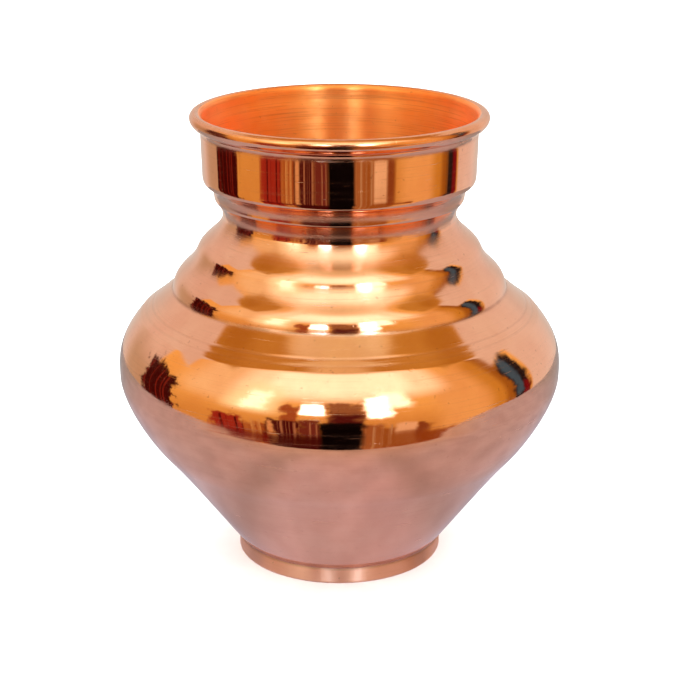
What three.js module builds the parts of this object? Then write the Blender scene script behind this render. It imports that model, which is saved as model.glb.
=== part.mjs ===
// Copper kalash pot (lota): a sheet-metal water pot turned and brazed from five formed pieces.
//
// Frame: millimetres, +Z up, origin on the pot's axis at the plane it stands on.
// Every piece is a solid of revolution about Z, so each is an outline in (radius, height), lathed.

import * as THREE from 'three';

// Driving dimensions
const SEGMENTS = 48; // facets round the axis, the same for every piece so touching faces match
const BODY_STEPS = 5; // points along each curved stretch of the body outline
const COLLAR_STEPS = 3; // and of the collar's
const SHEET = 0.8; // copper sheet thickness
const FOOT_RADIUS = 28.5;
const FOOT_HEIGHT = 4.7;
const FOOT_STRIP = 1.2; // thickness of the foot ring's strip
const FOOT_EDGE = 0.2; // broken inner edge of the foot ring
const FOOT_ROUND = 0.8; // rounded outer edge that the pot stands on
const FOOT_ROUND_STEPS = 4;
const BASE_FILLET = 1.2; // leg of the brazing fillet under the base
const BELLY_RADIUS = 60.6;
const BELLY_SEAM = 38.4; // height of the joint between the two spun shells
const NECK_SEAM = 96.5; // height of the joint between shell and collar
const SEAM_GAP = 0.4; // height of the brazing metal in a seam
const SEAM_BEAD = 0.5; // how far the brazing metal stands proud inside
const OVERALL_HEIGHT = 125;
const LIP_RADIUS = 1.6; // half the width of the rolled lip
const LIP_CENTRE_RADIUS = 38.3; // radius of the wire's centre line
const LIP_DROP = 2.65; // from the wire's centre down to the lip's underside
const LIP_SLIT = 0.15; // gap between the rolled sheet's edge and the collar wall
const LIP_STEPS = 6; // points along the half round of the lip
const WIRE_RADIUS = LIP_RADIUS - SHEET;
const WIRE_HEIGHT = OVERALL_HEIGHT - LIP_RADIUS;

// The outer face, from the foot crease up to the wire. At each station: radius, height, and the lean
// from vertical (degrees, outward positive) and handle length of the curve that arrives from below
// and of the curve that leaves upward. Where the two leans differ there is a crease.
const BODY_STATIONS = [
  { at: [FOOT_RADIUS, FOOT_HEIGHT], leave: [38, 9] }, // foot crease
  { at: [50.2, 32.8], arrive: [41.7, 9], leave: [41.7, 6.6] }, // cone begins to round
  { at: [BELLY_RADIUS, 53.3], arrive: [0, 5.4], leave: [0, 4.9] }, // widest belly
  { at: [54.3, 70.0], arrive: [-41.5, 10.3], leave: [-56, 3.2] }, // turned line on the shoulder
  { at: [45.5, 77.0], arrive: [-50, 4.1], leave: [-8, 5.4] }, // lower step
  { at: [38.65, 87.35], arrive: [-25, 6.2], leave: [-19, 3.7] }, // upper step
  { at: [31.5, NECK_SEAM], arrive: [-16, 4.8] }, // neck crease
];
const COLLAR_STATIONS = [
  { at: [31.53, NECK_SEAM + 0.1], leave: [1, 0.4] }, // neck crease
  { at: [31.56, 97.8], arrive: [1, 0.4], leave: [4, 0.5] }, // wall begins to spread
  { at: [32.75, 100.5], arrive: [33, 1.5], leave: [40, 0.4] }, // under the ring
  { at: [33.7, 101.9], arrive: [2, 0.4], leave: [2, 3.0] }, // face of the ring
  { at: [36.2, 106.2], arrive: [53, 0.8], leave: [53, 0.5] }, // under the collar wall
  { at: [36.77, 108.3], arrive: [1.5, 1.1], leave: [1.5, 1.0] }, // foot of the collar wall
  { at: [37.07, 119.5], arrive: [1.5, 1.0], leave: [3, 0.4] }, // wall begins to flare
  { at: [37.5, 120.5], arrive: [34, 0.4] }, // under the lip
];

// Corners of a simpler line through the collar, which its inner face follows a sheet's thickness in.
const COLLAR_CORNERS = [
  [31.5, NECK_SEAM],
  [31.75, 98.6],
  [33.6, 101.3],
  [34.0, 103.6],
  [36.5, 107.1],
  [36.85, 109.5],
  [37.07, 119.4],
  [37.5, 120.6],
];

const copper = () => new THREE.MeshStandardMaterial({ color: 0xd98a5f, roughness: 0.12, metalness: 1 });
const filler = () => new THREE.MeshStandardMaterial({ color: 0xc98a4a, roughness: 0.3, metalness: 1 });
const wireMetal = () => new THREE.MeshStandardMaterial({ color: 0xb87048, roughness: 0.35, metalness: 1 });

// ---- outline helpers: points are Vector2 with x = radius and y = height ----

const point = (radius, height) => new THREE.Vector2(radius, height);

function leaning([degrees, length]) {
  const angle = THREE.MathUtils.degToRad(degrees);
  return point(Math.sin(angle) * length, Math.cos(angle) * length);
}

function curved(stations, steps) {
  const points = [point(...stations[0].at)];
  for (let i = 1; i < stations.length; i++) {
    const from = stations[i - 1];
    const to = stations[i];
    const start = point(...from.at);
    const end = point(...to.at);
    const leave = start.clone().add(leaning(from.leave));
    const arrive = end.clone().sub(leaning(to.arrive));
    const curve = new THREE.CubicBezierCurve(start, leave, arrive, end);
    points.push(...curve.getPoints(steps).slice(1));
  }
  return points;
}

function offsetInward(points, distance) {
  return points.map((here, i) => {
    const before = points[Math.max(i - 1, 0)];
    const after = points[Math.min(i + 1, points.length - 1)];
    const arriving = i > 0 ? here.clone().sub(before).normalize() : null;
    const leaving = i < points.length - 1 ? after.clone().sub(here).normalize() : null;
    const first = arriving ?? leaving;
    const second = leaving ?? arriving;
    const along = first.clone().add(second).normalize();
    const stretch = distance / along.dot(first);
    return point(here.x - along.y * stretch, here.y + along.x * stretch);
  });
}

function radiusAt(points, height) {
  for (let i = 1; i < points.length; i++) {
    const low = points[i - 1];
    const high = points[i];
    if (height >= low.y && height <= high.y) {
      return THREE.MathUtils.mapLinear(height, low.y, high.y, low.x, high.x);
    }
  }
  throw new Error(`no outline at height ${height}`);
}

function between(points, low, high) {
  const inside = points.filter((p) => p.y > low && p.y < high);
  return [point(radiusAt(points, low), low), ...inside, point(radiusAt(points, high), high)];
}

function arc(centreRadius, centreHeight, radius, fromDegrees, toDegrees, steps) {
  const points = [];
  for (let i = 0; i <= steps; i++) {
    const angle = THREE.MathUtils.degToRad(THREE.MathUtils.lerp(fromDegrees, toDegrees, i / steps));
    points.push(point(centreRadius + Math.cos(angle) * radius, centreHeight + Math.sin(angle) * radius));
  }
  return points;
}

function lathed(name, points, material) {
  const geometry = new THREE.LatheGeometry(points, SEGMENTS);
  geometry.rotateX(Math.PI / 2);
  const mesh = new THREE.Mesh(geometry, material);
  mesh.name = name;
  return mesh;
}

const ring = (name, points, material) => lathed(name, [...points, points[0].clone()], material);

// ---- the sheet's outer and inner faces, from the base corner to the wire ----

const bodyFace = curved(BODY_STATIONS, BODY_STEPS);
const besideWire = point(LIP_CENTRE_RADIUS - WIRE_RADIUS, WIRE_HEIGHT);
const outerFace = [...bodyFace, ...curved(COLLAR_STATIONS, COLLAR_STEPS), besideWire];
const simplerFace = [
  point(0, FOOT_HEIGHT),
  ...bodyFace.slice(0, -1),
  ...COLLAR_CORNERS.map(([radius, height]) => point(radius, height)),
  besideWire,
];
const innerFace = offsetInward(simplerFace, SHEET);
innerFace[innerFace.length - 1] = point(LIP_CENTRE_RADIUS - LIP_RADIUS, WIRE_HEIGHT);
const innerWall = innerFace.slice(1);

// ---- pieces ----

function footRing() {
  const inner = FOOT_RADIUS - FOOT_STRIP;
  const outline = [
    point(inner, FOOT_EDGE),
    point(inner + FOOT_EDGE, 0),
    ...arc(FOOT_RADIUS - FOOT_ROUND, FOOT_ROUND, FOOT_ROUND, -90, 0, FOOT_ROUND_STEPS),
    point(FOOT_RADIUS, FOOT_HEIGHT),
    point(inner, FOOT_HEIGHT),
  ];
  return ring('foot_ring', outline, copper());
}

function footBraze() {
  const corner = FOOT_RADIUS - FOOT_STRIP;
  const outline = [
    point(corner - BASE_FILLET, FOOT_HEIGHT),
    point(corner, FOOT_HEIGHT - BASE_FILLET),
    point(corner, FOOT_HEIGHT),
  ];
  return ring('foot_braze', outline, filler());
}

function lowerBowl() {
  const top = BELLY_SEAM - SEAM_GAP / 2;
  const outer = between(outerFace, FOOT_HEIGHT, top);
  const inner = between(innerWall, innerWall[0].y, top).reverse();
  const outline = [point(0, FOOT_HEIGHT), ...outer, ...inner, point(0, FOOT_HEIGHT + SHEET)];
  return lathed('lower_bowl', outline, copper());
}

function upperShell() {
  const bottom = BELLY_SEAM + SEAM_GAP / 2;
  const top = NECK_SEAM - SEAM_GAP / 2;
  const outline = [...between(outerFace, bottom, top), ...between(innerWall, bottom, top).reverse()];
  return ring('upper_shell', outline, copper());
}

function seamBraze(name, height) {
  const low = height - SEAM_GAP / 2;
  const high = height + SEAM_GAP / 2;
  const outline = [
    ...between(outerFace, low, high),
    ...between(innerWall, low, high).reverse(),
  ];
  const inside = outline.length - 1;
  outline.splice(inside, 0, point(radiusAt(innerWall, height) - SEAM_BEAD, height));
  return ring(name, outline, filler());
}

function neckCollar() {
  const bottom = NECK_SEAM + SEAM_GAP / 2;
  const outer = between(outerFace, bottom, WIRE_HEIGHT);
  const overWire = arc(LIP_CENTRE_RADIUS, WIRE_HEIGHT, WIRE_RADIUS, 180, 0, LIP_STEPS).slice(1);
  const underside = WIRE_HEIGHT - LIP_DROP;
  const edge = radiusAt(outerFace, underside + SHEET) + LIP_SLIT;
  const tuck = [
    point(LIP_CENTRE_RADIUS + WIRE_RADIUS - 0.1, underside + 2.2 * SHEET),
    point(LIP_CENTRE_RADIUS + 0.3, underside + 1.3 * SHEET),
    point(edge, underside + SHEET),
    point(edge, underside),
    point(LIP_CENTRE_RADIUS + 0.4, underside + 0.25),
    point(LIP_CENTRE_RADIUS + 1.1, underside + 0.75),
    point(LIP_CENTRE_RADIUS + LIP_RADIUS - 0.1, underside + 1.6),
  ];
  const crown = arc(LIP_CENTRE_RADIUS, WIRE_HEIGHT, LIP_RADIUS, 0, 180, LIP_STEPS);
  const inner = between(innerWall, bottom, WIRE_HEIGHT).reverse().slice(1);
  return ring('neck_collar', [...outer, ...overWire, ...tuck, ...crown, ...inner], copper());
}

function rimWire() {
  const outline = arc(LIP_CENTRE_RADIUS, WIRE_HEIGHT, WIRE_RADIUS, 0, 360, 2 * LIP_STEPS).slice(1);
  return ring('rim_wire', outline, wireMetal());
}

const kalash = new THREE.Group();
kalash.add(
  footRing(),
  footBraze(),
  lowerBowl(),
  seamBraze('belly_braze', BELLY_SEAM),
  upperShell(),
  seamBraze('neck_braze', NECK_SEAM),
  neckCollar(),
  rimWire(),
);

export default kalash;
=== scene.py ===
"""Looks of the copper kalash pot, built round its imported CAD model.

Every formed piece is rebuilt as a finely lathed sheet of the same size, with rounded creases, a slight
hand-turned unevenness and a procedural polished-copper material. Lengths below are millimetres on a
125 mm tall pot; MM turns them into the frame's metres from the height that the frame gives.
"""

import math

import bpy
import numpy as np
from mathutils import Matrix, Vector


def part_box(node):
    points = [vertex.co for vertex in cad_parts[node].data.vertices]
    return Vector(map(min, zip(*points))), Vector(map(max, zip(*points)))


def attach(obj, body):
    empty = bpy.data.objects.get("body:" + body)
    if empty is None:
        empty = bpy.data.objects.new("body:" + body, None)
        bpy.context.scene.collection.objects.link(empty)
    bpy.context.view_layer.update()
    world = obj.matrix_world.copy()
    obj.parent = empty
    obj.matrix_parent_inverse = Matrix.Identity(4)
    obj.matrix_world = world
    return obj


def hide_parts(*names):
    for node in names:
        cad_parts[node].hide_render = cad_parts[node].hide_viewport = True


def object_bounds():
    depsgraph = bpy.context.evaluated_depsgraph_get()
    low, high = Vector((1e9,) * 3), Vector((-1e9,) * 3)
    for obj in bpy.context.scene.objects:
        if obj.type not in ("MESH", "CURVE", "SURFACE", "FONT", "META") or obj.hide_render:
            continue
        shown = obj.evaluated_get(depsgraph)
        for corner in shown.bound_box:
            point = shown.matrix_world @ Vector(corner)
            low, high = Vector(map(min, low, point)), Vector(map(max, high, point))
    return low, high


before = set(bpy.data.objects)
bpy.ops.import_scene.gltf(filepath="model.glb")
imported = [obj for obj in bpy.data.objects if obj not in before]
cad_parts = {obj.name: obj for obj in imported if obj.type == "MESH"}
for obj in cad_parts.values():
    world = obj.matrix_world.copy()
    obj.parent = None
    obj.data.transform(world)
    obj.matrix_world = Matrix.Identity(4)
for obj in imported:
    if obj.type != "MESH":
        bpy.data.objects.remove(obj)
cad_low, cad_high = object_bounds()

# ---- driving dimensions, in millimetres on a 125 mm tall pot ----

DESIGN_HEIGHT = 125.0
MM = (cad_high.z - cad_low.z) / DESIGN_HEIGHT

SHEET = 0.8  # copper sheet thickness
FOOT_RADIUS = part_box("foot_ring")[1].x / MM
FOOT_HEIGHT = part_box("foot_ring")[1].z / MM
FOOT_STRIP = 1.2  # thickness of the foot ring's strip
FOOT_EDGE = 0.2  # broken inner edge of the foot ring
FOOT_ROUND = 0.8  # rounded outer edge that the pot stands on
BASE_FILLET = FOOT_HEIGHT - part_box("foot_braze")[0].z / MM
BELLY_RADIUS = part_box("upper_shell")[1].x / MM
BELLY_SEAM_LOW, BELLY_SEAM_HIGH = (corner.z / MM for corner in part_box("belly_braze"))
NECK_SEAM_LOW, NECK_SEAM_HIGH = (corner.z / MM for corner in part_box("neck_braze"))
NECK_SEAM = (NECK_SEAM_LOW + NECK_SEAM_HIGH) / 2
WIRE_RADIUS = (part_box("rim_wire")[1].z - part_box("rim_wire")[0].z) / MM / 2
WIRE_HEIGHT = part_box("rim_wire")[1].z / MM - WIRE_RADIUS
LIP_RADIUS = WIRE_RADIUS + SHEET
LIP_CENTRE_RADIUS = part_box("rim_wire")[1].x / MM - WIRE_RADIUS
LIP_DROP = 2.65  # from the wire's centre down to the lip's underside
LIP_SLIT = 0.15  # gap between the rolled sheet's edge and the collar wall
WIRE_PLAY = 0.02  # gap between the wire and the sheet rolled over it
SEAM_BEAD = 0.4  # how far inward the curve of a seam's inside bead is pulled

AROUND = 240  # facets round the axis
FINE_STEP = 0.36  # spacing of outline points on outer faces
COARSE_STEP = 0.9  # on inner faces
FOOT_STEP = 0.14  # and on the foot ring
CLOSEST_POINTS = 0.02  # outline points nearer than this are one point
CREASE_SOFTNESS = 0.18  # how far a crease in the sheet is rounded
CREASE_FLARE = 0.08  # how far the metal burnished into the foot's crease stands out
CREASE_REACH = 0.6  # how far below the crease that begins on the foot
CONE_START = 0.9  # and how far above it the bowl's own outline takes over
CONE_LEAN = 38  # degrees from vertical, at the foot of the cone
BASE_CORNER = 1.2  # height of the rounded corner inside the base
HUB_RADIUS = 1.0  # innermost ring of the flat base
BASE_STEPS = 24  # rings of points across the flat base
SHARPEST_SMOOTH = 40  # degrees; edges that bend more are shaded as cut edges

# Stations of the outline: radius, height, then the lean from vertical in degrees and the handle length
# of the curve that arrives from below and of the curve that leaves upward.
BODY_STATIONS = [
    dict(at=(FOOT_RADIUS, FOOT_HEIGHT), leave=(CONE_LEAN, 9)),  # foot crease
    dict(at=(50.2, 32.8), arrive=(41.7, 9), leave=(41.7, 6.6)),  # cone begins to round
    dict(at=(BELLY_RADIUS, 53.3), arrive=(0, 5.4), leave=(0, 4.9)),  # widest belly
    dict(at=(54.3, 70.0), arrive=(-41.5, 10.3), leave=(-56, 3.2)),  # turned line on the shoulder
    dict(at=(45.5, 77.0), arrive=(-50, 4.1), leave=(-8, 5.4)),  # lower step
    dict(at=(38.65, 87.35), arrive=(-25, 6.2), leave=(-19, 3.7)),  # upper step
    dict(at=(31.5, NECK_SEAM), arrive=(-16, 4.8)),  # neck crease
]
COLLAR_STATIONS = [
    dict(at=(31.53, NECK_SEAM + 0.1), leave=(1, 0.4)),  # neck crease
    dict(at=(31.56, 97.8), arrive=(1, 0.4), leave=(4, 0.5)),  # wall begins to spread
    dict(at=(32.75, 100.5), arrive=(33, 1.5), leave=(40, 0.4)),  # under the ring
    dict(at=(33.7, 101.9), arrive=(2, 0.4), leave=(2, 3.0)),  # face of the ring
    dict(at=(36.2, 106.2), arrive=(53, 0.8), leave=(53, 0.5)),  # under the collar wall
    dict(at=(36.77, 108.3), arrive=(1.5, 1.1), leave=(1.5, 1.0)),  # foot of the collar wall
    dict(at=(37.07, 119.5), arrive=(1.5, 1.0), leave=(3, 0.4)),  # wall begins to flare
    dict(at=(37.5, 120.5), arrive=(34, 0.4), leave=(0, 0.9)),  # under the lip
    dict(at=(LIP_CENTRE_RADIUS - WIRE_RADIUS, WIRE_HEIGHT), arrive=(0, 0.9)),  # beside the wire
]
CURVE_STEPS = 60  # points along each stretch between two stations
TURNED_LINES = [
    # height, depth and half width of a shallow groove cut while the shell was spinning
    (72.4, 0.07, 0.30),
    (71.1, 0.05, 0.24),
    (40.2, 0.012, 0.30),
    (17.5, 0.012, 0.25),
    (8.6, 0.02, 0.25),
]


# ---- outlines: arrays of (radius, height) in millimetres ----


def leaning(degrees, length):
    angle = math.radians(degrees)
    return np.array((math.sin(angle), math.cos(angle))) * length


def bezier(start, leave, arrive, end, steps):
    t = np.linspace(0, 1, steps + 1)[:, None]
    return (1 - t) ** 3 * start + 3 * (1 - t) ** 2 * t * leave + 3 * (1 - t) * t**2 * arrive + t**3 * end


def arc(centre, radius, from_degrees, to_degrees, steps):
    angles = np.radians(np.linspace(from_degrees, to_degrees, steps + 1))
    return np.stack((centre[0] + radius * np.cos(angles), centre[1] + radius * np.sin(angles)), 1)


def curved(stations):
    stretches = [np.array([stations[0]["at"]], float)]
    for low, high in zip(stations[:-1], stations[1:]):
        start, end = np.array(low["at"], float), np.array(high["at"], float)
        leave = start + leaning(*low["leave"])
        arrive = end - leaning(*high["arrive"])
        stretches.append(bezier(start, leave, arrive, end, CURVE_STEPS)[1:])
    return np.concatenate(stretches)


def outline_lengths(points):
    return np.concatenate(([0], np.cumsum(np.hypot(*np.diff(points, axis=0).T))))


def resampled(points, step):
    along = outline_lengths(points)
    count = max(2, int(math.ceil(along[-1] / step)) + 1)
    at = np.linspace(0, along[-1], count)
    return np.stack((np.interp(at, along, points[:, 0]), np.interp(at, along, points[:, 1])), 1)


def softened(points, softness, step=0.05):
    """The outline with its creases rounded, as bent sheet has them; its two ends stay put."""
    fine = resampled(points, step)
    reach = int(round(3 * softness / step))
    weights = np.exp(-0.5 * (np.arange(-reach, reach + 1) * step / softness) ** 2)
    weights /= weights.sum()
    padded = np.concatenate((
        2 * fine[0] - fine[reach:0:-1],
        fine,
        2 * fine[-1] - fine[-2 : -reach - 2 : -1],
    ))
    return np.stack([np.convolve(padded[:, i], weights, mode="valid") for i in (0, 1)], 1)


def offset_inward(points, distance):
    along = np.gradient(points, axis=0)
    along /= np.hypot(*along.T)[:, None]
    return points + distance * np.stack((-along[:, 1], along[:, 0]), 1)


def between(points, low, high):
    """The stretch of a rising outline between two heights, with a point exactly at each."""
    ends = [(np.interp(z, points[:, 1], points[:, 0]), z) for z in (low, high)]
    inside = points[(points[:, 1] > low + 1e-6) & (points[:, 1] < high - 1e-6)]
    return np.concatenate(([ends[0]], inside, [ends[1]]))


def grooved(points):
    """The outline with the turned lines pressed into it."""
    normal = offset_inward(points, 1.0) - points
    lengths = outline_lengths(points)
    depth = np.zeros(len(points))
    for height, deepest, half_width in TURNED_LINES:
        middle = np.interp(height, points[:, 1], lengths)
        depth += deepest * np.exp(-(((lengths - middle) / half_width) ** 2))
    return points + normal * depth[:, None]


wall = np.concatenate((curved(BODY_STATIONS), curved(COLLAR_STATIONS)))
outer_face = grooved(softened(wall, CREASE_SOFTNESS))
inner_face = offset_inward(softened(wall, SHEET), SHEET)


# ---- meshes ----

WORN_REACH = LIP_RADIUS + 0.2  # the lip is worn this far round the wire's centre
WORN_DOWN_TO = -0.5  # down to this height, from the wire's centre
WORN_IN_TO = -0.8  # and in to this radius, from the wire's centre
CREASE_BEND = 1.2  # radians per millimetre of outline, where a bend counts as a crease
GROOVE_BEND = 0.16  # and as a groove
GROOVE_BLUR = 3  # outline points over which a groove's marks fade out
ROUND_CENTRE = 20.0  # radius inside which the sheet's unevenness dies away to nothing at the axis

HAND_SEED = 7
hand = np.random.default_rng(HAND_SEED)
WAVES = [
    # turns round the pot, turns up its height, depth in millimetres, two phases
    (around, up, depth, *hand.uniform(0, 2 * math.pi, 2))
    for around, up, depth in (
        (2, 0.6, 0.05),
        (3, 1.3, 0.03),
        (5, 2.2, 0.016),
        (7, 3.1, 0.01),
        (9, 1.7, 0.008),
        (0, 9.0, 0.004),
        (13, 5.0, 0.004),
    )
]


def unevenness(angle, height):
    """How far the sheet stands off a true circle, in millimetres."""
    share = height / DESIGN_HEIGHT
    return sum(
        depth * np.cos(around * angle + first) * np.cos(2 * math.pi * up * share + second)
        for around, up, depth, first, second in WAVES
    )


def hollowness(points, sharp):
    """From 0 to 1, how hollow the outline is at each point: 1 where it bends inward by sharp or more."""
    along = np.gradient(points, axis=0)
    turn = np.unwrap(np.arctan2(along[:, 1], along[:, 0]))
    lengths = outline_lengths(points)
    bend = -np.gradient(turn, np.maximum(lengths, 1e-9) + np.arange(len(lengths)) * 1e-9)
    return np.clip(bend / sharp, 0, 1)


def blurred(values, reach):
    weights = np.hanning(2 * reach + 3)[1:-1]
    padded = np.pad(values, reach, mode="edge")
    return np.convolve(padded, weights / weights.sum(), mode="valid")


def skins(points):
    """Which finish each stretch of an outline has: polished outside, brushed inside, worn on the lip."""
    heading = np.roll(points, -1, axis=0) - points
    inside = (heading[:, 1] < -1e-4) | ((np.abs(heading[:, 1]) <= 1e-4) & (heading[:, 0] < 0))
    out, up = points[:, 0] - LIP_CENTRE_RADIUS, points[:, 1] - WIRE_HEIGHT
    on_lip = (np.hypot(out, up) < WORN_REACH) & (up > WORN_DOWN_TO) & (out > WORN_IN_TO)
    under_lip = (out > WORN_IN_TO) & (up <= WORN_DOWN_TO)
    return np.where(on_lip, 2, np.where(inside & ~under_lip, 1, 0))


def lathed(name, points, closed=True):
    """A solid of revolution, and the finish of each of its faces.

    The outline either closes on itself or has its two ends closed to a point on the axis.
    """
    points = np.asarray(points, float)
    count = len(points)
    angles = np.arange(AROUND) * (2 * math.pi / AROUND)
    radius = np.repeat(points[:, 0], AROUND)
    height = np.repeat(points[:, 1], AROUND)
    angle = np.tile(angles, count)
    radius = radius + unevenness(angle, height) * np.clip(radius / ROUND_CENTRE, 0, 1)
    vertices = np.stack((radius * np.cos(angle), radius * np.sin(angle), height), 1) * MM
    faces = []
    skin_of_row = skins(points)
    skin_of_face = []
    for i in range(count if closed else count - 1):
        j = (i + 1) % count
        for k in range(AROUND):
            n = (k + 1) % AROUND
            faces.append((i * AROUND + k, i * AROUND + n, j * AROUND + n, j * AROUND + k))
            skin_of_face.append(skin_of_row[i])
    if not closed:
        low, high = len(vertices), len(vertices) + 1
        poles = np.array([(0, 0, points[0, 1]), (0, 0, points[-1, 1])]) * MM
        vertices = np.concatenate((vertices, poles))
        last = (count - 1) * AROUND
        for k in range(AROUND):
            n = (k + 1) % AROUND
            faces.append((low, n, k))
            faces.append((high, last + k, last + n))
            skin_of_face += [0, 1]
    mesh = bpy.data.meshes.new(name)
    mesh.from_pydata(vertices.tolist(), [], faces)
    mesh.polygons.foreach_set("use_smooth", [True] * len(mesh.polygons))
    mesh.set_sharp_from_angle(angle=math.radians(SHARPEST_SMOOTH))
    attributes = {
        "along": outline_lengths(points) * MM,
        "hollow": hollowness(points, CREASE_BEND),
        "groove": blurred(hollowness(points, GROOVE_BEND), GROOVE_BLUR),
    }
    for label, values in attributes.items():
        attribute = mesh.attributes.new(label, "FLOAT", "POINT")
        data = np.zeros(len(vertices), np.float32)
        data[: count * AROUND] = np.repeat(values, AROUND)
        attribute.data.foreach_set("value", data)
    mesh.update()
    piece = bpy.data.objects.new(name, mesh)
    bpy.context.scene.collection.objects.link(piece)
    return piece, skin_of_face


def without_repeats(points):
    kept = [points[0]]
    for point in points[1:]:
        if np.hypot(*(point - kept[-1])) > CLOSEST_POINTS:
            kept.append(point)
    return np.array(kept)


def sheet_between(low, high):
    """The outer face going up and the inner face coming down, between two heights."""
    outer = resampled(between(outer_face, low, high), FINE_STEP)
    inner = resampled(between(inner_face, low, high), COARSE_STEP)[::-1]
    return outer, inner


def make_foot_ring():
    """The strip that the pot stands on, its top edge burnished out into the crease."""
    inner = FOOT_RADIUS - FOOT_STRIP
    rounded_edge = arc((FOOT_RADIUS - FOOT_ROUND, FOOT_ROUND), FOOT_ROUND, -90, 0, 12)
    top = [
        (FOOT_RADIUS, FOOT_HEIGHT - CREASE_REACH),
        (FOOT_RADIUS + CREASE_FLARE / 4, FOOT_HEIGHT - CREASE_REACH / 2),
        (FOOT_RADIUS + CREASE_FLARE, FOOT_HEIGHT),
        (inner, FOOT_HEIGHT),
    ]
    inner_edge = [(inner, FOOT_EDGE), (inner + FOOT_EDGE, 0)]
    outline = np.concatenate((inner_edge, rounded_edge, top, inner_edge[:1]))
    return lathed("foot_band", without_repeats(resampled(outline, FOOT_STEP)[:-1]))


def make_foot_braze():
    """The brazing fillet under the base, with a hollow face."""
    corner = FOOT_RADIUS - FOOT_STRIP
    hollow_curve = bezier(
        np.array((corner - BASE_FILLET, FOOT_HEIGHT)),
        np.array((corner - 0.4, FOOT_HEIGHT - 0.1)),
        np.array((corner - 0.1, FOOT_HEIGHT - 0.4)),
        np.array((corner, FOOT_HEIGHT - BASE_FILLET)),
        10,
    )
    return lathed("foot_fillet", np.concatenate((hollow_curve, [(corner, FOOT_HEIGHT)])))


def level_rings(from_radius, to_radius, height):
    """Points across the flat base; curves join them to the cone."""
    return np.stack((np.linspace(from_radius, to_radius, BASE_STEPS), np.full(BASE_STEPS, height)), 1)


def make_lower_bowl():
    """The lower shell: out across the underside, up the cone, down inside it and back across the floor."""
    outer, inner = sheet_between(FOOT_HEIGHT + CONE_START, BELLY_SEAM_LOW)
    crease = bezier(
        np.array((FOOT_RADIUS + CREASE_FLARE, FOOT_HEIGHT)),
        np.array((FOOT_RADIUS + CREASE_FLARE + 0.1, FOOT_HEIGHT + 0.3)),
        outer[0] - leaning(CONE_LEAN, 0.3),
        outer[0],
        8,
    )
    floor_height = FOOT_HEIGHT + SHEET
    inner = inner[inner[:, 1] > floor_height + BASE_CORNER]
    inside_corner = bezier(
        inner[-1],
        inner[-1] - leaning(CONE_LEAN, BASE_CORNER),
        np.array((FOOT_RADIUS - 0.4, floor_height)),
        np.array((FOOT_RADIUS - 2.0, floor_height)),
        8,
    )[1:]
    underside = level_rings(HUB_RADIUS, FOOT_RADIUS - 0.8, FOOT_HEIGHT)
    floor = level_rings(FOOT_RADIUS - 3.0, HUB_RADIUS, floor_height)
    outline = np.concatenate((underside, crease, outer[1:], inner, inside_corner, floor))
    return lathed("lower_bowl_sheet", outline, closed=False)


def make_upper_shell():
    outer, inner = sheet_between(BELLY_SEAM_HIGH, NECK_SEAM_LOW)
    return lathed("upper_shell_sheet", np.concatenate((outer, inner)))


def make_seam(name, low, high):
    """A ring of brazing metal: flush with the sheet outside, with a low filed bead inside."""
    outer = between(outer_face, low, high)[[0, -1]]
    inner_low, inner_high = between(inner_face, low, high)[[0, -1]]
    bead_high = inner_high + (-SEAM_BEAD, 0.1)
    bead_low = inner_low + (-SEAM_BEAD, -0.1)
    bead = bezier(inner_high, bead_high, bead_low, inner_low, 6)
    return lathed(name, np.concatenate((outer, bead)))


def make_collar():
    """The collar sheet: up the outside, over the wire, back round it as the lip, and down the inside."""
    outer, inner = sheet_between(NECK_SEAM_HIGH, WIRE_HEIGHT - 0.05)
    centre = (LIP_CENTRE_RADIUS, WIRE_HEIGHT)
    over_wire = arc(centre, WIRE_RADIUS, 180, 0, 16)
    underside = WIRE_HEIGHT - LIP_DROP
    edge = np.interp(underside + SHEET, outer_face[:, 1], outer_face[:, 0]) + LIP_SLIT
    beside_wire = LIP_CENTRE_RADIUS + WIRE_RADIUS
    outermost = LIP_CENTRE_RADIUS + LIP_RADIUS
    tuck_inside = bezier(
        np.array((beside_wire, WIRE_HEIGHT)),
        np.array((beside_wire, WIRE_HEIGHT - 0.9)),
        np.array((edge + 1.0, underside + SHEET + 0.3)),
        np.array((edge, underside + SHEET)),
        10,
    )[1:]
    tuck_outside = bezier(
        np.array((edge, underside + 0.05)),
        np.array((edge + 0.85, underside + 0.25)),
        np.array((outermost, WIRE_HEIGHT - 1.25)),
        np.array((outermost, WIRE_HEIGHT)),
        18,
    )
    crown = arc(centre, LIP_RADIUS, 0, 180, 36)[1:]
    outline = np.concatenate((outer, over_wire, tuck_inside, tuck_outside, crown, inner))
    return lathed("collar_sheet", without_repeats(outline))


def make_rim_wire():
    circle = arc((LIP_CENTRE_RADIUS, WIRE_HEIGHT), WIRE_RADIUS - WIRE_PLAY, 0, 360, 20)[1:]
    return lathed("lip_wire", circle)


# ---- materials ----

# dark copper for tarnish spots and turned lines, and the colour of the painted shade at the foot's crease
TARNISH_AND_SHADE = (0.16, 0.05, 0.03, 1)
BUMP_HEIGHT = 0.000004  # metres of relief per unit of grain
CREASE_SHADE = 0.5  # how dark the shade painted into the foot's crease is
CREASE_SHADE_AT = FOOT_HEIGHT + 0.6  # height of the middle of that painted shade
DULL_FROM, DULL_TO = 89, 92  # heights between which the shell's polish gets duller towards the neck


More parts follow.
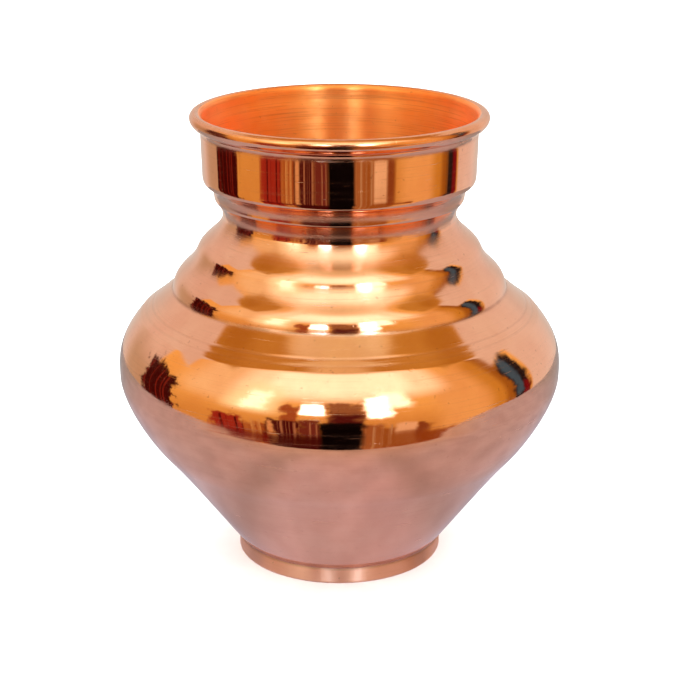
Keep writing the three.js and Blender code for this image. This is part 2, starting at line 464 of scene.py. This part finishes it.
class Nodes:
    """A short way to write a node tree."""

    def __init__(self, tree):
        self.tree = tree

    def add(self, kind, inputs=None, **settings):
        node = self.tree.nodes.new(kind)
        for key, value in settings.items():
            setattr(node, key, value)
        for key, value in (inputs or {}).items():
            self.put(node.inputs[key], value)
        return node

    def put(self, socket, value):
        if isinstance(value, bpy.types.NodeSocket):
            self.tree.links.new(value, socket)
        else:
            socket.default_value = value

    def math(self, operation, *values):
        return self.add("ShaderNodeMath", dict(enumerate(values)), operation=operation).outputs[0]

    def total(self, start, *terms):
        """start, plus each value times its weight."""
        for value, weight in terms:
            start = self.math("ADD", start, self.math("MULTIPLY", value, weight))
        return start

    def smooth(self, value, low, high, to_low=0.0, to_high=1.0):
        inputs = {"Value": value, "From Min": low, "From Max": high, "To Min": to_low, "To Max": to_high}
        node = self.add("ShaderNodeMapRange", inputs, interpolation_type="SMOOTHSTEP")
        return node.outputs["Result"]

    def mix(self, factor, first, second):
        node = self.add("ShaderNodeMix", data_type="RGBA")
        values = {"Factor_Float": factor, "A_Color": first, "B_Color": second}
        for socket in node.inputs:
            if socket.identifier in values:
                self.put(socket, values[socket.identifier])
        return next(s for s in node.outputs if s.identifier == "Result_Color")

    def noise(self, vector, scale, detail=3.0, roughness=0.5):
        inputs = {"Vector": vector, "Scale": scale, "Detail": detail, "Roughness": roughness}
        return self.add("ShaderNodeTexNoise", inputs).outputs["Fac"]


def turned_coordinates(nodes, around_scale, along_scale):
    """A vector that runs slowly round the pot and fast along its outline, for marks left by turning."""
    position = nodes.add("ShaderNodeTexCoord").outputs["Object"]
    parts = nodes.add("ShaderNodeSeparateXYZ", {0: position})
    flat = nodes.add("ShaderNodeCombineXYZ", {0: parts.outputs[0], 1: parts.outputs[1]}).outputs[0]
    unit = nodes.add("ShaderNodeVectorMath", {0: flat}, operation="NORMALIZE").outputs[0]
    split = nodes.add("ShaderNodeSeparateXYZ", {0: unit})
    along = nodes.add("ShaderNodeAttribute", attribute_name="along").outputs["Fac"]
    return nodes.add("ShaderNodeCombineXYZ", {
        0: nodes.math("MULTIPLY", split.outputs[0], around_scale),
        1: nodes.math("MULTIPLY", split.outputs[1], around_scale),
        2: nodes.math("MULTIPLY", along, along_scale),
    }).outputs[0]


def copper_material(name, light, deep, gloss, grain, stretch, metallic=1.0):
    """Copper: colour drift, dark creases, painted shade at the foot, turned lines, fine scratches, pits and
    smears.

    The colour drifts between light and deep. gloss is the roughness where it is clean, grain scales the
    marks left by turning, and stretch is how far those marks draw a reflection out. Noise scales are per
    metre.
    """
    material = bpy.data.materials.new(name)
    material.use_nodes = True
    tree = material.node_tree
    tree.nodes.clear()
    nodes = Nodes(tree)
    position = nodes.add("ShaderNodeTexCoord").outputs["Object"]
    hollow = nodes.add("ShaderNodeAttribute", attribute_name="hollow").outputs["Fac"]
    groove = nodes.add("ShaderNodeAttribute", attribute_name="groove").outputs["Fac"]

    level = nodes.add("ShaderNodeSeparateXYZ", {0: position}).outputs[2]

    # marks and painted shade that both the colour and the gloss follow
    # a band of shade painted along the crease above the foot, darker and duller
    from_crease = nodes.math("ABSOLUTE", nodes.math("SUBTRACT", level, CREASE_SHADE_AT * MM))
    painted_shade_at_foot = nodes.smooth(from_crease, 0.5 * MM, 1.4 * MM, CREASE_SHADE, 0.0)
    # darker and duller in the sheet's inward creases, more in some places than in others
    crease_darkening = nodes.math("MULTIPLY", hollow, nodes.smooth(nodes.noise(position, 180.0), 0.3, 0.75, 0.5, 0.9))
    crease_darkening = nodes.math("MAXIMUM", crease_darkening, painted_shade_at_foot)
    lines = nodes.noise(turned_coordinates(nodes, 1.6, 2600.0), 1.0, 3.0, 0.6)
    streaks = nodes.smooth(lines, 0.5, 0.72)

    wide_drift = nodes.noise(position, 24.0, 3.0)
    small_drift = nodes.noise(position, 150.0, 4.0, 0.6)
    drift = nodes.total(0.0, (wide_drift, 0.6), (small_drift, 0.4))
    spots = nodes.smooth(nodes.noise(position, 900.0, 2.0), 0.69, 0.76)
    # how far the colour darkens: in the creases, with the painted shade at the foot, at spots and along
    # turned lines
    marks_and_shade = nodes.total(0.0, (crease_darkening, 0.8), (spots, 0.25), (streaks, 0.05 * grain))
    colour = nodes.mix(nodes.smooth(drift, 0.36, 0.64), light, deep)
    colour = nodes.mix(marks_and_shade, colour, TARNISH_AND_SHADE)

    scratches = nodes.smooth(nodes.noise(turned_coordinates(nodes, 2.4, 1900.0), 1.0, 2.0, 0.7), 0.67, 0.74)
    smears = nodes.smooth(nodes.noise(position, 60.0, 4.0, 0.6), 0.48, 0.74)
    above_steps = nodes.smooth(level, DULL_FROM * MM, DULL_TO * MM)
    below_neck = nodes.smooth(level, (NECK_SEAM - 0.6) * MM, (NECK_SEAM + 0.4) * MM, 1.0, 0.0)
    near_neck = nodes.math("MULTIPLY", above_steps, below_neck)
    roughness = nodes.total(
        gloss,
        (smears, gloss * 0.7),
        (streaks, 0.08 * grain),
        (scratches, 0.22),
        (groove, 0.10),
        (near_neck, 0.06),
        (crease_darkening, 0.25),
    )

    wide_lines = nodes.noise(turned_coordinates(nodes, 1.1, 520.0), 1.0, 2.0)
    pits = nodes.smooth(nodes.noise(position, 420.0, 2.0), 0.7, 0.8, 0.0, -2.5)
    lines_in_grooves = nodes.math("MULTIPLY", lines, groove)
    height = nodes.total(wide_lines, (lines, 0.35), (lines_in_grooves, 3.0), (pits, 1.0))
    bump = nodes.add("ShaderNodeBump", {"Strength": 1.0, "Distance": grain * BUMP_HEIGHT, "Height": height})

    # The turning marks run round the axis, so reflections stretch across them.
    shader = nodes.add("ShaderNodeBsdfPrincipled", {
        "Base Color": colour,
        "Metallic": metallic,
        "Roughness": roughness,
        "Anisotropic": stretch,
        "Anisotropic Rotation": 0.25,
        "Tangent": nodes.add("ShaderNodeTangent", direction_type="RADIAL", axis="Z").outputs[0],
        "Normal": bump.outputs[0],
    })
    nodes.add("ShaderNodeOutputMaterial", {"Surface": shader.outputs[0]})
    return material


# ---- the pot ----

polished = copper_material(
    "polished_copper", (0.95, 0.49, 0.31, 1), (0.89, 0.42, 0.26, 1), gloss=0.045, grain=1.0, stretch=1.0
)
brushed = copper_material(
    "brushed_copper", (1.0, 0.33, 0.08, 1), (0.99, 0.28, 0.05, 1), gloss=0.31, grain=4.0, stretch=1.0,
    metallic=0.82,  # the fine grooves of the brushing scatter some light
)
worn = copper_material(
    "worn_copper", (0.94, 0.43, 0.23, 1), (0.84, 0.33, 0.15, 1), gloss=0.15, grain=2.0, stretch=0.3
)
foot_copper = copper_material(
    "foot_copper", (0.97, 0.50, 0.32, 1), (0.92, 0.44, 0.27, 1), gloss=0.34, grain=0.8, stretch=1.0
)
filler = copper_material(
    "brazing_metal", (0.86, 0.56, 0.27, 1), (0.74, 0.44, 0.20, 1), gloss=0.22, grain=3.0, stretch=0.0
)
seam_filler = copper_material(
    "seam_metal", (0.93, 0.48, 0.30, 1), (0.86, 0.41, 0.25, 1), gloss=0.07, grain=1.0, stretch=0.7
)
wire_metal = copper_material(
    "drawn_wire", (0.80, 0.40, 0.25, 1), (0.66, 0.30, 0.18, 1), gloss=0.3, grain=3.0, stretch=0.5
)

SHEET_SKINS = (polished, brushed, worn)
SEAM_SKINS = (seam_filler, filler, filler)
PIECES = [
    # maker, its arguments, the CAD node it stands for, finishes of outside, inside and lip, record slot
    (make_foot_ring, (), "foot_ring", (foot_copper,) * 3, "polished_copper"),
    (make_foot_braze, (), "foot_braze", (filler,) * 3, "brazing_metal"),
    (make_lower_bowl, (), "lower_bowl", SHEET_SKINS, "polished_copper"),
    (make_seam, ("belly_seam", BELLY_SEAM_LOW, BELLY_SEAM_HIGH), "belly_braze", SEAM_SKINS, "brazing_metal"),
    (make_upper_shell, (), "upper_shell", SHEET_SKINS, "polished_copper"),
    (make_seam, ("neck_seam", NECK_SEAM_LOW, NECK_SEAM_HIGH), "neck_braze", SEAM_SKINS, "brazing_metal"),
    (make_collar, (), "neck_collar", SHEET_SKINS, "polished_copper"),
    (make_rim_wire, (), "rim_wire", (wire_metal,) * 3, "rim_wire"),
]

for make, arguments, node, finishes, slot in PIECES:
    piece, skin_of_face = make(*arguments)
    used = sorted({finishes[skin].name for skin in skin_of_face})
    for name in used:
        piece.data.materials.append(bpy.data.materials[name])
    indices = [used.index(finishes[skin].name) for skin in skin_of_face]
    piece.data.polygons.foreach_set("material_index", indices)
    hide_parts(node)
    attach(piece, "root")


# ---- studio ----

FLOOR_REACH = 6.0  # metres from the pot to each edge of the floor
FLOOR_GREY = (0.86, 0.86, 0.86)
DAYLIGHT = 2.8  # overexposes the floor a little, as a white studio sweep is

# The small round-fronted table top that the copper mirrors, in metres; the camera sees only the floor.
TABLE_CORNERS = [
    (-0.24, 0.25),
    (-0.285, 0.14),
    (-0.26, 0.06),
    (-0.235, -0.015),
    (-0.195, -0.08),
    (-0.15, -0.122),
    (-0.10, -0.136),
    (0.0, -0.129),
    (0.06, -0.131),
    (0.13, -0.134),
    (0.20, -0.122),
    (0.26, -0.108),
    (0.30, -0.08),
    (0.325, -0.03),
    (0.33, 0.05),
    (0.31, 0.14),
    (0.24, 0.25),
]
TABLE_SHADES = {
    "centre": (0.258, 0.236, 0.290, 1),
    # darker: the pot's shade painted onto the table close beside it
    "beside": (0.192, 0.178, 0.205, 1),
    "sides": (0.226, 0.214, 0.250, 1),
    "back": (0.168, 0.174, 0.180, 1),
    "front": (0.264, 0.225, 0.206, 1),
}


def shaded(nodes, position):
    """The table top's colour: painted shade of the pot close beside it, and a shade of its own to each side
    of it.
    """
    parts = nodes.add("ShaderNodeSeparateXYZ", {0: position})
    sideways = nodes.math("ABSOLUTE", parts.outputs[0])
    backward = parts.outputs[1]
    forward = nodes.math("MULTIPLY", backward, -1.0)
    shade = TABLE_SHADES["centre"]
    for name, distance, start, end in (
        ("beside", sideways, 0.018, 0.036),
        ("sides", sideways, 0.036, 0.052),
        ("back", backward, 0.02, 0.16),
        ("front", forward, 0.06, 0.13),
    ):
        shade = nodes.mix(nodes.smooth(distance, start, end), shade, TABLE_SHADES[name])
    return shade


def make_level_surface(name, corners, colour=None):
    """A flat matt surface that the pot stands on, in one colour or shaded as the table top is."""
    mesh = bpy.data.meshes.new(name)
    mesh.from_pydata([(x, y, 0) for x, y in corners], [], [tuple(range(len(corners)))])
    surface = bpy.data.objects.new(name, mesh)
    surface.location.z = cad_low.z
    bpy.context.scene.collection.objects.link(surface)
    material = bpy.data.materials.new(name)
    material.use_nodes = True
    material.node_tree.nodes.clear()
    nodes = Nodes(material.node_tree)
    position = nodes.add("ShaderNodeTexCoord").outputs["Object"]
    shade = colour or shaded(nodes, position)
    mottle = nodes.smooth(nodes.noise(position, 45.0, 3.0), 0.3, 0.7, 0.94, 1.04)
    shade = nodes.add("ShaderNodeVectorMath", {0: shade, 1: mottle}, operation="MULTIPLY").outputs[0]
    inputs = {"Base Color": shade, "Roughness": 0.9, "Specular IOR Level": 0.0}
    shader = nodes.add("ShaderNodeBsdfPrincipled", inputs)
    nodes.add("ShaderNodeOutputMaterial", {"Surface": shader.outputs[0]})
    mesh.materials.append(material)
    return surface


floor_corners = [
    (across * FLOOR_REACH, away * FLOOR_REACH) for across, away in ((-1, -1), (1, -1), (1, 1), (-1, 1))
]
floor = make_level_surface("floor", floor_corners, FLOOR_GREY)
floor.visible_glossy = False

table = make_level_surface("table_top", TABLE_CORNERS)
table.visible_camera = False
table.visible_diffuse = False
table.visible_shadow = False

# What the copper mirrors: an amber room, low and high, with cards painted over it in order. Angles are
# degrees: azimuth from the front with right positive, elevation, and the softness of a card's edges. A
# card for both sides takes its azimuths without their sign.
RAGGED_DEGREES = 3.0  # how far an edge wanders for each step of raggedness
ROOM_LOW = (0.74, 0.43, 0.10, 1)
ROOM_HIGH = (1.00, 0.66, 0.19, 1)
CARDS = [
    # side, azimuths, elevations, softness, raggedness, whether broken into upright stripes, radiance
    ("left", (-92, -40), (16, 62), 10, 0, False, (1.06, 0.90, 0.50)),  # glow on the left wall
    ("right", (52, 100), (-40, 46), 8, 0, False, (0.92, 0.60, 0.22)),  # right wall
    ("right", (82, 100), (-40, 46), 6, 0, False, (0.66, 0.36, 0.05)),
    ("right", (92, 100), (-40, 46), 3, 0, False, (0.38, 0.16, 0.015)),  # its shaded end
    ("both", (76, 300), (47, 95), 2.5, 0, False, (0.60, 0.34, 0.06)),  # amber corners above the back
    ("both", (92, 300), (49, 60), 4, 0, False, (0.50, 0.25, 0.03)),
    ("both", (-50, 78), (70, 95), 6, 0, False, (0.88, 0.78, 0.44)),  # overhead
    ("both", (-50, 300), (82, 95), 4, 0, False, (0.88, 0.72, 0.36)),
    ("both", (-50, 64), (36, 72), 8, 0, False, (1.45, 1.42, 1.10)),  # ceiling
    ("both", (-50, 46), (43, 66), 7, 0, False, (1.60, 2.00, 1.75)),  # its lit middle
    ("right", (114, 300), (-40, 48), 1.5, 0, False, (0.85, 0.79, 0.74)),  # white side panels
    ("left", (-300, -114), (-40, 48), 1.5, 0, False, (0.83, 0.74, 0.67)),
    ("both", (98, 300), (31, 47.5), 1.5, 0, False, (0.85, 0.79, 0.72)),
    ("left", (-142, -110), (-40, 12), 9, 0, False, (0.58, 0.48, 0.34)),  # shade low on the left panel
    ("both", (150, 300), (-40, 20), 9, 0, False, (0.72, 0.68, 0.62)),  # the panels' far ends
    ("left", (-60, -34), (10, 46), 8, 0, False, (1.40, 1.60, 1.10)),  # soft window
    ("left", (-52, -40), (15, 40), 4, 4, False, (2.4, 2.6, 2.3)),
    ("right", (22, 38), (22, 44), 4, 4, False, (2.4, 2.8, 2.5)),  # soft window
    ("right", (14, 26), (6, 40), 3, 4, False, (4.2, 5.2, 5.4)),
    ("right", (18, 24), (12, 38), 1.5, 1, False, (6.0, 10.0, 16.0)),
    ("left", (-29, -21), (-10, 27), 1.5, 5, False, (0.40, 0.12, 0.03)),  # furniture
    ("left", (-20, -8), (13, 30), 1.5, 1, False, (5.0, 6.4, 7.0)),  # lamp
    ("left", (-15, -9), (15, 29), 1, 1, False, (6.0, 11.0, 17.0)),
    ("left", (-68, -48), (-60, -3), 2, 7, False, (0.36, 0.035, 0.018)),
    ("left", (-64, -48), (-60, -7), 2, 7, True, (0.10, 0.004, 0.003)),
    ("left", (-48, -36), (-60, -9), 2, 6, False, (0.42, 0.14, 0.03)),
    ("left", (-48, -30), (-60, -3), 1, 4, True, (0.72, 0.46, 0.16)),
    ("left", (-20, -9), (-60, 2), 2, 6, False, (0.17, 0.035, 0.022)),
    ("left", (-38, -20), (-60, 0), 2, 7, False, (0.075, 0.004, 0.003)),
    ("left", (-30, -10), (-60, -2), 1, 4, True, (0.42, 0.22, 0.12)),
    ("left", (-36, -32.5), (-60, -3), 1, 3, False, (0.75, 0.45, 0.20)),
    ("left", (-68, -34), (-25, -20.5), 1, 0.3, False, (0.16, 0.006, 0.005)),  # front of the table
    ("left", (-36, -8), (-60, -21), 1.5, 0.3, False, (0.055, 0.004, 0.003)),
    ("right", (10, 46), (-60, -12), 2, 3, False, (0.35, 0.13, 0.025)),
    ("right", (10, 22), (-60, -4), 2, 4, False, (0.40, 0.17, 0.05)),
    ("right", (11, 27), (-60, -8), 1, 4, True, (0.55, 0.38, 0.20)),
    ("right", (28, 39), (-18, -6), 1.5, 2, False, (0.93, 0.72, 0.45)),  # small box
    ("right", (39.5, 44), (-24, -8), 1, 3, False, (0.27, 0.08, 0.02)),
    ("right", (40, 64), (-25, -20), 1, 1, False, (0.30, 0.08, 0.01)),
    ("front", (-6, 12), (-5, 33), 2, 5, False, (0.34, 0.16, 0.06)),  # the camera and its stand
    ("front", (-4, 11), (-10, 14), 4, 5, False, (0.09, 0.010, 0.008)),
    ("front", (-10, 12), (-90, -1), 2, 3, False, (0.002, 0.0006, 0.0006)),
    ("left", (-119, -93), (-40, 20), 1.5, 9, False, (0.05, 0.003, 0.002)),  # things on the left
    ("left", (-118, -95), (-40, 16), 2, 9, True, (0.20, 0.02, 0.012)),
    ("right", (98, 112), (-40, 30), 2, 4, False, (0.02, 0.012, 0.012)),  # and on the right
    ("right", (100, 105.5), (-8, 30), 1.5, 3, False, (0.06, 0.14, 0.24)),
    ("right", (106, 112), (-40, 3), 2, 3, False, (0.20, 0.006, 0.010)),
]


def make_surroundings():
    """The world: plain daylight, with the room of cards where a surface mirrors it."""
    world = bpy.data.worlds.new("studio")
    bpy.context.scene.world = world
    world.use_nodes = True
    tree = world.node_tree
    tree.nodes.clear()
    nodes = Nodes(tree)
    direction = nodes.add("ShaderNodeTexCoord").outputs["Generated"]
    parts = nodes.add("ShaderNodeSeparateXYZ", {0: direction})
    toward_front = nodes.math("MULTIPLY", parts.outputs[1], -1.0)
    azimuth = nodes.math("DEGREES", nodes.math("ARCTAN2", parts.outputs[0], toward_front))
    elevation = nodes.math("DEGREES", nodes.math("ARCSINE", parts.outputs[2]))
    wobble = nodes.math("SUBTRACT", nodes.noise(direction, 7.0, 3.0, 0.6), 0.5)  # of upright edges
    lift = nodes.math("SUBTRACT", nodes.noise(direction, 9.0, 3.0, 0.6), 0.5)  # and of level ones
    colour = nodes.mix(nodes.smooth(elevation, -20, 30), ROOM_LOW, ROOM_HIGH)
    around_only = nodes.add("ShaderNodeCombineXYZ", {0: azimuth}).outputs[0]
    stripes = nodes.smooth(nodes.noise(around_only, 0.33, 3.0, 0.7), 0.50, 0.58)
    for side, (left, right), (low, high), soft, ragged, striped, radiance in CARDS:
        across = nodes.math("ABSOLUTE", azimuth) if side == "both" else azimuth
        up = elevation
        if ragged:
            across = nodes.total(across, (wobble, ragged * RAGGED_DEGREES))
            up = nodes.total(up, (lift, ragged * RAGGED_DEGREES))
        mask = nodes.smooth(across, left - soft, left + soft)
        for edge, value in ((right, across), (high, up)):
            mask = nodes.math("MULTIPLY", mask, nodes.smooth(value, edge - soft, edge + soft, 1.0, 0.0))
        mask = nodes.math("MULTIPLY", mask, nodes.smooth(up, low - soft, low + soft))
        if striped:
            mask = nodes.math("MULTIPLY", mask, stripes)
        colour = nodes.mix(mask, colour, (*radiance, 1))
    mirrored = nodes.add("ShaderNodeBackground", {"Color": colour, "Strength": 1.0})
    plain = nodes.add("ShaderNodeBackground", {"Color": (1, 1, 1, 1), "Strength": DAYLIGHT})
    is_reflection = nodes.add("ShaderNodeLightPath").outputs["Is Glossy Ray"]
    both = nodes.add("ShaderNodeMixShader", {0: is_reflection, 1: plain.outputs[0], 2: mirrored.outputs[0]})
    nodes.add("ShaderNodeOutputWorld", {"Surface": both.outputs[0]})


make_surroundings()

# ---- camera ----

CAMERA_LENS = 94.1  # focal length, in real millimetres
CAMERA_SENSOR = 36.0  # sensor width, in real millimetres
CAMERA_DISTANCE = 491.2  # from the point that it looks at
CAMERA_DOWN = 18.45  # degrees that it looks down by
CAMERA_AIM_HEIGHT = 60.67  # height of the point on the pot's axis that it looks at

camera_data = bpy.data.cameras.new("camera")
camera_data.lens = CAMERA_LENS
camera_data.sensor_width = CAMERA_SENSOR
camera = bpy.data.objects.new("camera", camera_data)
down = math.radians(CAMERA_DOWN)
aim = Vector((0, 0, CAMERA_AIM_HEIGHT * MM))
camera.location = aim + Vector((0, -math.cos(down), math.sin(down))) * CAMERA_DISTANCE * MM
camera.rotation_euler = (math.pi / 2 - down, 0, 0)
bpy.context.scene.collection.objects.link(camera)
bpy.context.scene.camera = camera
bpy.context.scene.view_settings.view_transform = "Standard"
